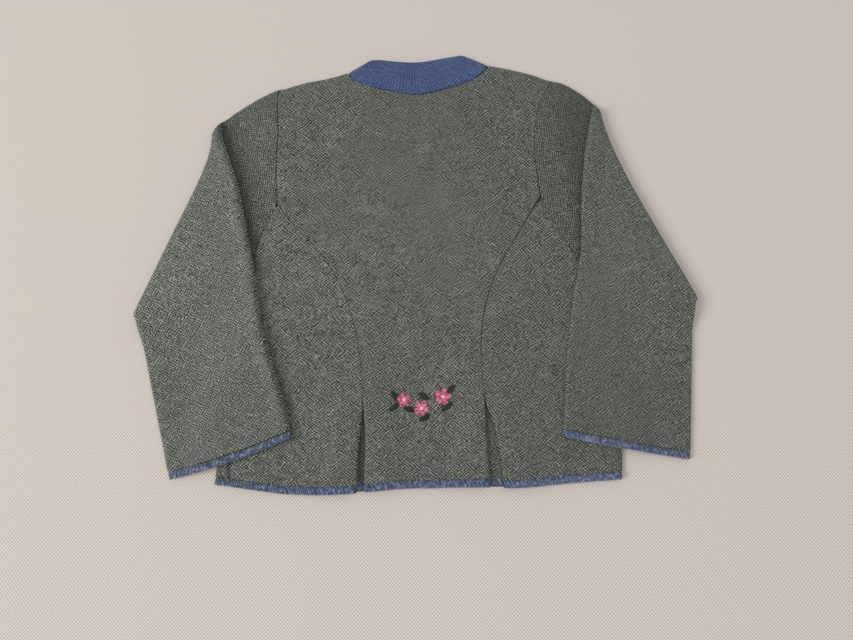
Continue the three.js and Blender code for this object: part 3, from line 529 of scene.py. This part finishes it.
def spun(name, colours, scale=620):
    """Spun yarn: streaks of darker and paler fibre, and a fine nap."""
    finish, tree, shader = new_finish(
        name, 0.8, Sheen_Weight=0.3, Sheen_Roughness=0.5, Specular_IOR_Level=0.25)
    place = object_place(tree)
    streak = cloudy(tree, place, scale, 2.0, 0.6).outputs[0]
    fibre = cloudy(tree, place, 2600, 2.0, 0.7).outputs[0]
    tone = calc(tree, "MULTIPLY_ADD", fibre, 0.45, calc(tree, "MULTIPLY_ADD", streak, 1.7, -0.57))
    colour = ramped(tree, tone, (0.1, colours[0]), (0.5, colours[1]), (0.9, colours[2]))
    tree.links.new(colour, shader.inputs["Base Color"])
    bumped(tree, shader, fibre, 0.8, 0.0004)
    return finish


on_back = height_of(centre)
petals, knots, stitches = [], [], []
for x, y, radius, start in FLOWERS:
    for petal in range(5):
        for i in range(PETAL_STRANDS):
            across = 2 * i / (PETAL_STRANDS - 1) - 1
            angle = math.radians(start + 72 * petal + PETAL_SPREAD * across)
            length = radius * (0.97 - 0.05 * across**2 - 0.24 * across**4 - 0.05 * (i % 2))
            run = []
            for share in (0.14, 0.3, 0.5, 0.72, 0.9, 1.0):
                px = x + length * share * math.cos(angle)
                py = y + length * share * math.sin(angle)
                padded = PADDING * math.sin(math.pi * min(1, share * 1.02)) ** 0.6
                padded *= 1 - 0.45 * across**2
                run.append((px, py, on_back(px, py) + 0.1 + padded, 1 - 0.3 * (share == 1.0)))
            petals.append(run)
    turns = []
    for i in range(17):
        angle = math.radians(45 * i)
        reach = 1.45 - 0.075 * i
        turns.append((x + reach * math.cos(angle), y + reach * math.sin(angle),
                      on_back(x, y) + 1.1 + 0.05 * i, 1.25))
    knots.append(turns)
for (x0, y0), (x1, y1) in LEAVES:
    line = np.array([x1 - x0, y1 - y0])
    normal = np.array([-line[1], line[0]]) / np.hypot(*line)
    for i in range(11):
        share = i / 10
        for side in (-1, 1):
            inner = np.array([x0, y0]) + line * max(0, share - 0.12)
            wide = LEAF_HALF * math.sin(math.pi * min(0.97, 0.12 + 0.86 * share) ** 0.9)
            outer = np.array([x0, y0]) + line * min(1, share + 0.1) + side * wide * normal
            run = []
            for part in (0.0, 0.35, 0.7, 1.0):
                px, py = inner + (outer - inner) * part
                run.append((px, py, on_back(px, py) + 0.15 + 0.55 * math.sin(math.pi * part), 1.0))
            stitches.append(run)
for name, runs, radius, colours in (
    ("petals", petals, THREAD, PINK),
    ("flower_knots", knots, THREAD, PALE_PINK),
    ("leaves", stitches, THREAD, GREEN),
):
    sewn = strands(name, runs, radius)
    dressed(sewn, spun(f"{name}_yarn", colours), "wool")

# ---- Side backs --------------------------------------------------------------------------
# Two narrow panels of the same wool beside the centre back, sewn to it by curved seams that
# run out from the pleats to the armholes, and turned over the sides onto the fronts. The left
# side seam shows as a groove a little way in from the folded side.
SIDE_SEAM = ((-168.6, 5), (-172.8, 44), (-160, 206))  # from the hem to under the arm
SIDE_CUTS = (-1.7, -0.8, 0, 0.8, 1.7)  # where the mesh is cut along it
SIDE_PAINTED_SHADE = 0.55  # painted shade: share of the colour's paleness taken away in this groove
for side, area in (("left", 0.0256), ("right", 0.0234)):
    panel = cut_copy(f"back_side_{side}", f"cloth_back_side_{side}")
    make_finer(panel, 2, rim=SEAM_RIM)
    if side == "left":
        bpy.ops.object.mode_set(mode="EDIT")
        foot, knee = (np.array(p) for p in SIDE_SEAM[:2])
        normal = np.array([foot[1] - knee[1], knee[0] - foot[0]]) / np.hypot(*(knee - foot))
        for aside in SIDE_CUTS:
            bpy.ops.mesh.select_all(action="SELECT")
            place = (foot + normal * aside) / 1000 + HEM_MIDDLE
            bpy.ops.mesh.bisect(plane_co=(*place, 0), plane_no=(*normal, 0))
        bpy.ops.object.mode_set(mode="OBJECT")
    shade = back_painted_light(panel)
    if side == "left":
        points = take_points(panel)
        seam_x = np.interp(points[:, 1], *zip(*((y, x) for x, y in SIDE_SEAM)))
        aside = np.abs(points[:, 0] - seam_x)
        pressed = (1 - eased(0.9, 1.7, aside)) * (points[:, 2] > 3)
        points[:, 2] -= SEAM_DEPTH * pressed
        put_points(panel, points)
        # painted shade in the left side seam's groove
        shade *= 1 - SIDE_PAINTED_SHADE * pressed
    map_stitches(panel)
    back_rim = np.concatenate([back_rim, upright_rim(panel, 208, 400)])
    press_seams(panel, back_rim, shade)
    settle(panel)
    dressed(panel, wool, "wool", f"back_side_{side}")

# ---- Pleat insets ------------------------------------------------------------------------
# Two pressed strips of the wool, folded under the lower ends of the curved seams, so that the
# back can open there. Only the bottom of each fold shows between the panels.
# painted shade in the pleats' deep folds: each inset is painted darker, the left one most
for side, shade in (("left", 0.62), ("right", 0.85)):
    inset = cut_copy(f"pleat_inset_{side}", f"cloth_pleat_inset_{side}")
    make_finer(inset, 2, rim=SEAM_RIM)
    map_stitches(inset)
    write_painted_shading(inset, shade)
    settle(inset)
    dressed(inset, wool, "wool", f"pleat_inset_{side}")

# ---- Fronts ------------------------------------------------------------------------------
# Two plain panels of the same wool that lie under the back and meet edge to edge down the
# middle. They lie flat on the table.
FRONT_MOVES = {  # points of the right front that are moved, so that its rows don't cross
    "left": (),
    "right": ((118.9, 377, -6), (116.9, 346, -9), (115.8, 314, -8), (117.1, 286, -5),
              (123.1, 265, -2), (99.5, 201, -1.5)),
}
for side, area in (("left", 0.0612), ("right", 0.0568)):
    front = cut_copy(f"front_{side}", f"cloth_front_{side}", FRONT_MOVES[side])
    make_finer(front, 1, rim=SEAM_RIM)
    map_stitches(front)
    write_painted_shading(front, 1.0)
    settle(front)
    dressed(front, wool, "wool", f"front_{side}")

# ---- Sleeves -----------------------------------------------------------------------------
# Two set-in sleeves of the same wool, flat tubes with a seam under the arm. Each is folded
# back over the body along a slanting crease, and hangs over the body's side onto the table.
# The inner edge of the folded part stands up as a fuller roll. Painted shadow darkens the
# first part beside the fold; painted light makes the left folded part paler and the right one
# darker, as the lamp on the left falls on them, and painted shade runs along each fold's edge.
UNDERARM = {"left": (-169.4, 206.0), "right": (163.4, 207.0)}
CREASE_TOP = {"left": (-204.2, 360.0), "right": (184.0, 377.6)}
CREASE_UNDER = {"left": (-273.2, 157.0), "right": (268.8, 174.0)}
CREASE_AXIS = 4.9  # height of the crease's axis above the table, in millimetres
SLEEVE_GRAIN = {"left": -35.3, "right": 30.9}  # degrees that the courses turn
EDGE_ROLL = {  # height of the roll along the inner edge, by height above the hem
    "left": ((40, 1.6), (140, 2.2), (335, 2.2), (362, 0.6)),
    "right": ((40, 1.0), (260, 1.3), (290, 2.5), (335, 2.5), (365, 0.6)),
}
# the outline at the top of the folds, from left to right: x and the height above the hem
FOLD_TOP = {
    "left": ((-240, 349.2), (-212.8, 349.2), (-211.2, 353), (-208.9, 357.2), (-204.5, 361.6),
             (-199.8, 365.4), (-192.5, 372.2), (-184.6, 380.2), (-179, 410)),
    "right": ((165, 410), (171, 394), (176.6, 389), (182, 383.6), (185.7, 379.2), (188.6, 374.6),
              (190.5, 369.8), (192.9, 360.6), (240, 360.6)),
}
FOLD_FILL = {"left": (-203.5, 362.5), "right": (184.5, 381.0)}  # where the outline is filled up
FILL = (0.8, 2.2)  # how far it is filled up, outwards and towards the neck
FILL_SPREAD = 30  # square of the fill's half width
FOLD_TURN = 3.0  # how far below that outline the cloth begins to turn
FOLD_ROOM = 1.1  # how far past it the cloth is let out, at the crease's axis
FOLD_BACK = 0.45  # how far outwards the outline is read, by millimetre of height
FOLD_LEAN = 0.65  # how far the outline moves towards the hem, by millimetre of height
EDGE_SHIFT = {  # how far the inner edge lies to the right, by height above the hem
    "left": ((300, 0), (330, -1.5), (350, -3.0)),
    "right": ((230, 0), (290, -2.5), (330, -3.5), (370, -2.5)),
}
# painted light and shade: how pale the first part is painted at the fold's edge, where its
# painted shadow is deepest, and farther in, and how pale the folded part is painted as the lamp
# falls on it
SLEEVE_PAINTED_LIGHT = {"left": (0.52, 0.91, 1.14), "right": (0.48, 0.75, 0.90)}
EDGE_PAINTED_SHADE = (0.86, 9)  # painted shade along the folded part's inner edge: share of its paleness left there, and the width of this darker strip
PAINTED_SHADOW_REACH = {  # how far out of the fold the painted shadow on the first part reaches, by height above the hem
    "left": ((330, 28), (365, 15)),
    "right": ((240, 8), (290, 15), (330, 40), (375, 60)),
}
for side, outward, area in (("left", -1, 0.0870), ("right", 1, 0.0896)):
    sleeve = cut_copy(f"sleeve_{side}", f"cloth_sleeve_{side}")
    make_finer(sleeve, 2, rim=SEAM_RIM)
    points = take_points(sleeve)
    under, top, low = (np.array(t[side]) for t in (UNDERARM, CREASE_TOP, CREASE_UNDER))
    line = (low - under) / np.hypot(*(low - under))
    rel = points[:, :2] - under
    past = outward * (line[1] * rel[:, 0] - line[0] * rel[:, 1])
    first = (past < 2) & (points[:, 2] < CREASE_AXIS + 0.3)

    def unfolded(points):
        """Lays the sleeve out past its crease, so that its rows run on round the fold."""
        run = (low - top) / np.hypot(*(low - top))
        rel = points[:, :2] - top
        across = np.abs(rel[:, 0] * run[1] - rel[:, 1] * run[0])
        return np.column_stack([np.where(first, -across, across) * outward, -(rel @ run)])

    map_stitches(sleeve, SLEEVE_GRAIN[side], unfolded)
    inner = -outward * points[:, 0]
    rows = np.floor(points[:, 1] / 4).astype(int)
    folded = points[:, 2] > CREASE_AXIS + 0.3
    centres, edge = zip(*((4 * r + 2, inner[folded & (rows == r)].max())
                          for r in np.unique(rows[folded])))
    inward = np.interp(points[:, 1], centres, edge) - inner
    # painted light and shade on the sleeve: painted shadow beside the fold, and the folded part lit
    # or shaded as it faces the lamp
    hidden, free, turned = SLEEVE_PAINTED_LIGHT[side]
    shaded = np.interp(points[:, 1], *zip(*PAINTED_SHADOW_REACH[side]))
    shade = hidden + (free - hidden) * eased(0, 1, -inward / shaded)
    pale, wide = EDGE_PAINTED_SHADE
    turned *= pale + (1 - pale) * eased(0, wide, inward)
    shade = np.where(first, shade, turned)
    press_seams(sleeve, back_rim, shade)
    points = take_points(sleeve)
    roll = np.interp(points[:, 1], *zip(*EDGE_ROLL[side]))
    roll *= eased(-0.5, 2.5, inward) * (1 - eased(5, 16, inward)) * eased(7.1, 7.8, points[:, 2])
    points[:, 2] += roll
    shift = np.interp(points[:, 1], *zip(*EDGE_SHIFT[side])) * (1 - eased(2, 20, inward))
    points[:, 0] += shift * eased(CREASE_AXIS, 6.5, points[:, 2])
    off = points[:, :2] - FOLD_FILL[side]
    filled = np.exp(-(off**2).sum(1, keepdims=True) / FILL_SPREAD)
    points[:, :2] += filled * (FILL[0] * outward, FILL[1])
    lean = points[:, 2] - CREASE_AXIS
    read_x = points[:, 0] + FOLD_BACK * outward * lean
    limit = np.interp(read_x, *zip(*FOLD_TOP[side])) + FOLD_ROOM - FOLD_LEAN * lean
    over = np.maximum(points[:, 1] - limit + FOLD_TURN, 0)
    points[:, 1] += FOLD_TURN * (1 - np.exp(-over / FOLD_TURN)) - over
    put_points(sleeve, points)
    settle(sleeve)
    dressed(sleeve, sleeve_wool, "wool", f"sleeve_{side}")

# ---- Collar ------------------------------------------------------------------------------
# A stand collar of blue rib knit, sewn round the neckline. Its back half lies on its fronts.
RIB_DARK = (0.012, 0.020, 0.052)
RIB_MIDDLE = (0.046, 0.080, 0.185)
RIB_LIGHT = (0.110, 0.170, 0.350)
RIB_CREST = 0.4  # how far the ribs are pulled up, in millimetres
CREST_FROM = 4.8  # height above the table from which a point is on a rib's crest
RIB_PAINTED_LIGHT = (0.86, 0.32)  # painted shade in the grooves and painted light on the crests: how pale the grooves are, and how much paler the crests are
collar = cut_copy("collar", "cloth_collar")
crests = take_points(collar)[:, 2] > CREST_FROM
layer = collar.data.attributes.new("crest", "FLOAT", "POINT")
layer.data.foreach_set("value", crests.astype(np.float32))
make_finer(collar, 3, 0.2)
crest = np.zeros(len(collar.data.vertices), np.float32)
collar.data.attributes["crest"].data.foreach_get("value", crest)
points = take_points(collar)
points[:, 2] += RIB_CREST * crest * (points[:, 2] > 3.4)
put_points(collar, points)
map_stitches(collar)
# the ribs' upper face gets painted shade in the grooves and painted light on the crests
write_painted_shading(collar, np.where(points[:, 2] > 3.2, RIB_PAINTED_LIGHT[0] + RIB_PAINTED_LIGHT[1] * crest, 1.0))
settle(collar)
rib = knitted("blue_rib", RIB_DARK, RIB_MIDDLE, RIB_LIGHT, 0.9, 0.0004)
dressed(collar, rib, "rib", "collar")

# ---- Hem and cuff edging -----------------------------------------------------------------
# Blue wool yarn sewn over and over the cut edge of every panel and of both cuffs: a band of
# the wool, and slanting stitches of doubled blue yarn that wrap its free edge. The fronts'
# edges, which lie underneath, get only the band.
YARN_PITCH = 3.7  # millimetres from one stitch to the next
YARN_SPLIT = 1.6  # between the two yarns of a stitch
YARN = 0.72  # radius of the yarn
COVER_SHORT = 0.9  # how far short of the stitches' ends the blue on the band stops
UNDER_YARN_SHADE = 0.6  # painted shade under the stitches: how pale the band is there
# how far the stitches reach in from the free edge, by the way along it
REACH = {"hem_edging_back_left": ((0, 4.6), (50, 6.8)), "cuff_edging_left": ((0, 5.6), (1, 5.6)),
         "cuff_edging_right": ((0, 5.8), (1, 5.8))}
FULL_REACH = ((0, 6.6), (1, 6.6))
BLUE = ((0.022, 0.030, 0.075), (0.105, 0.140, 0.250), (0.330, 0.385, 0.520))
band_wool = knitted("edged_wool", WOOL_DARK, WOOL_MIDDLE, WOOL_LIGHT, trim=BLUE)
overcast_yarn = spun("blue_yarn", BLUE, 330)
EDGES = {  # each edge's direction along its length
    "hem_edging_back_left": (1, 0),
    "hem_edging_back_centre": (1, 0),
    "hem_edging_back_right": (1, 0),
    "hem_edging_front_left": (1, 0),
    "hem_edging_front_right": (1, 0),
    "cuff_edging_left": (-0.947, -0.321),
    "cuff_edging_right": (0.984, -0.178),
}


def free_edge(piece, direction):
    """A piece's free edge, which faces the hem side: the directions along it and out of it,
    and for each point and each place on the edge the way along it and the way out."""
    along = np.array(direction)
    out = np.array([along[1], -along[0]])
    out *= -np.sign(out[1])
    flat = take_points(piece)[:, :2]
    run, reach = flat @ along, flat @ out
    steps = np.arange(run.min(), run.max(), 6)
    beside = [np.flatnonzero((run >= step) & (run < step + 6)) for step in steps]
    rim = [these[np.argmax(reach[these])] for these in beside if len(these)]
    return along, out, run, reach, run[rim], reach[rim]


def overcast(name, piece, direction, reaches, low=-1e3, high=1e3):
    """Stitches over a piece's free edge."""
    along, out, run, _, rim_run, rim_reach = free_edge(piece, direction)
    height = height_of(piece)
    runs = []
    start, end = max(run.min() + 1.6, low), min(run.max() - 1.6, high)
    for i in range(int((end - start) / YARN_PITCH) + 1):
        for yarn in (-0.5, 0.5):
            wander = noise.noise(Vector((i * 0.71, yarn, 8)))
            place = start + i * YARN_PITCH + yarn * YARN_SPLIT + 0.3 * wander
            edge = np.interp(place, rim_run, rim_reach)
            reach = np.interp(place - start, *zip(*reaches)) * (1 + 0.35 * wander)
            stitch = []
            for inward, lift, thick in (
                (reach, -0.4, 0.6), (reach - 1.4, 0.3, 0.95), (0.52 * reach, 0.55, 1.12),
                (1.4, 0.35, 1.1), (0.1, -0.75, 1.0), (0.9, -1.9, 0.8),
            ):
                slant = 1.4 - inward * 0.5
                x, y = (place + slant) * along + (edge - inward) * out
                inside = (place + slant) * along + (edge - min(max(inward, 1.2), 5.4)) * out
                top = height(*inside)
                if top is not None:
                    stitch.append((x, y, top + lift, thick))
            if len(stitch) == 6:
                runs.append(stitch)
    return strands(name, runs, YARN)


for node, direction in EDGES.items():
    band = cut_copy(node, f"band_{node}")
    make_finer(band, 2, 0.2)
    map_stitches(band)
    reaches = REACH.get(node, FULL_REACH)
    _, _, run, reach, rim_run, rim_reach = free_edge(band, direction)
    inward = np.interp(run, rim_run, rim_reach) - reach
    covered = np.interp(run - run.min(), *zip(*reaches)) - COVER_SHORT - inward
    layer = band.data.attributes.new("covered", "FLOAT", "POINT")
    layer.data.foreach_set("value", covered.astype(np.float32))
    # painted shade on the band where the stitches cover it
    write_painted_shading(band, np.where(covered > 0, UNDER_YARN_SHADE, 1.0))
    settle(band)
    dressed(band, band_wool, "edging", node)
    if "front" not in node:
        sewn = overcast(f"stitches_{node}", band, direction, reaches)
        dressed(sewn, overcast_yarn, "edging")
for side, low, high in (("left", -54.5, -48.8), ("right", 65.5, 75.5)):
    inset = bpy.data.objects[f"cloth_pleat_inset_{side}"]
    sewn = overcast(f"stitches_inset_{side}", inset, (1, 0), FULL_REACH, low, high)
    dressed(sewn, overcast_yarn, "edging")
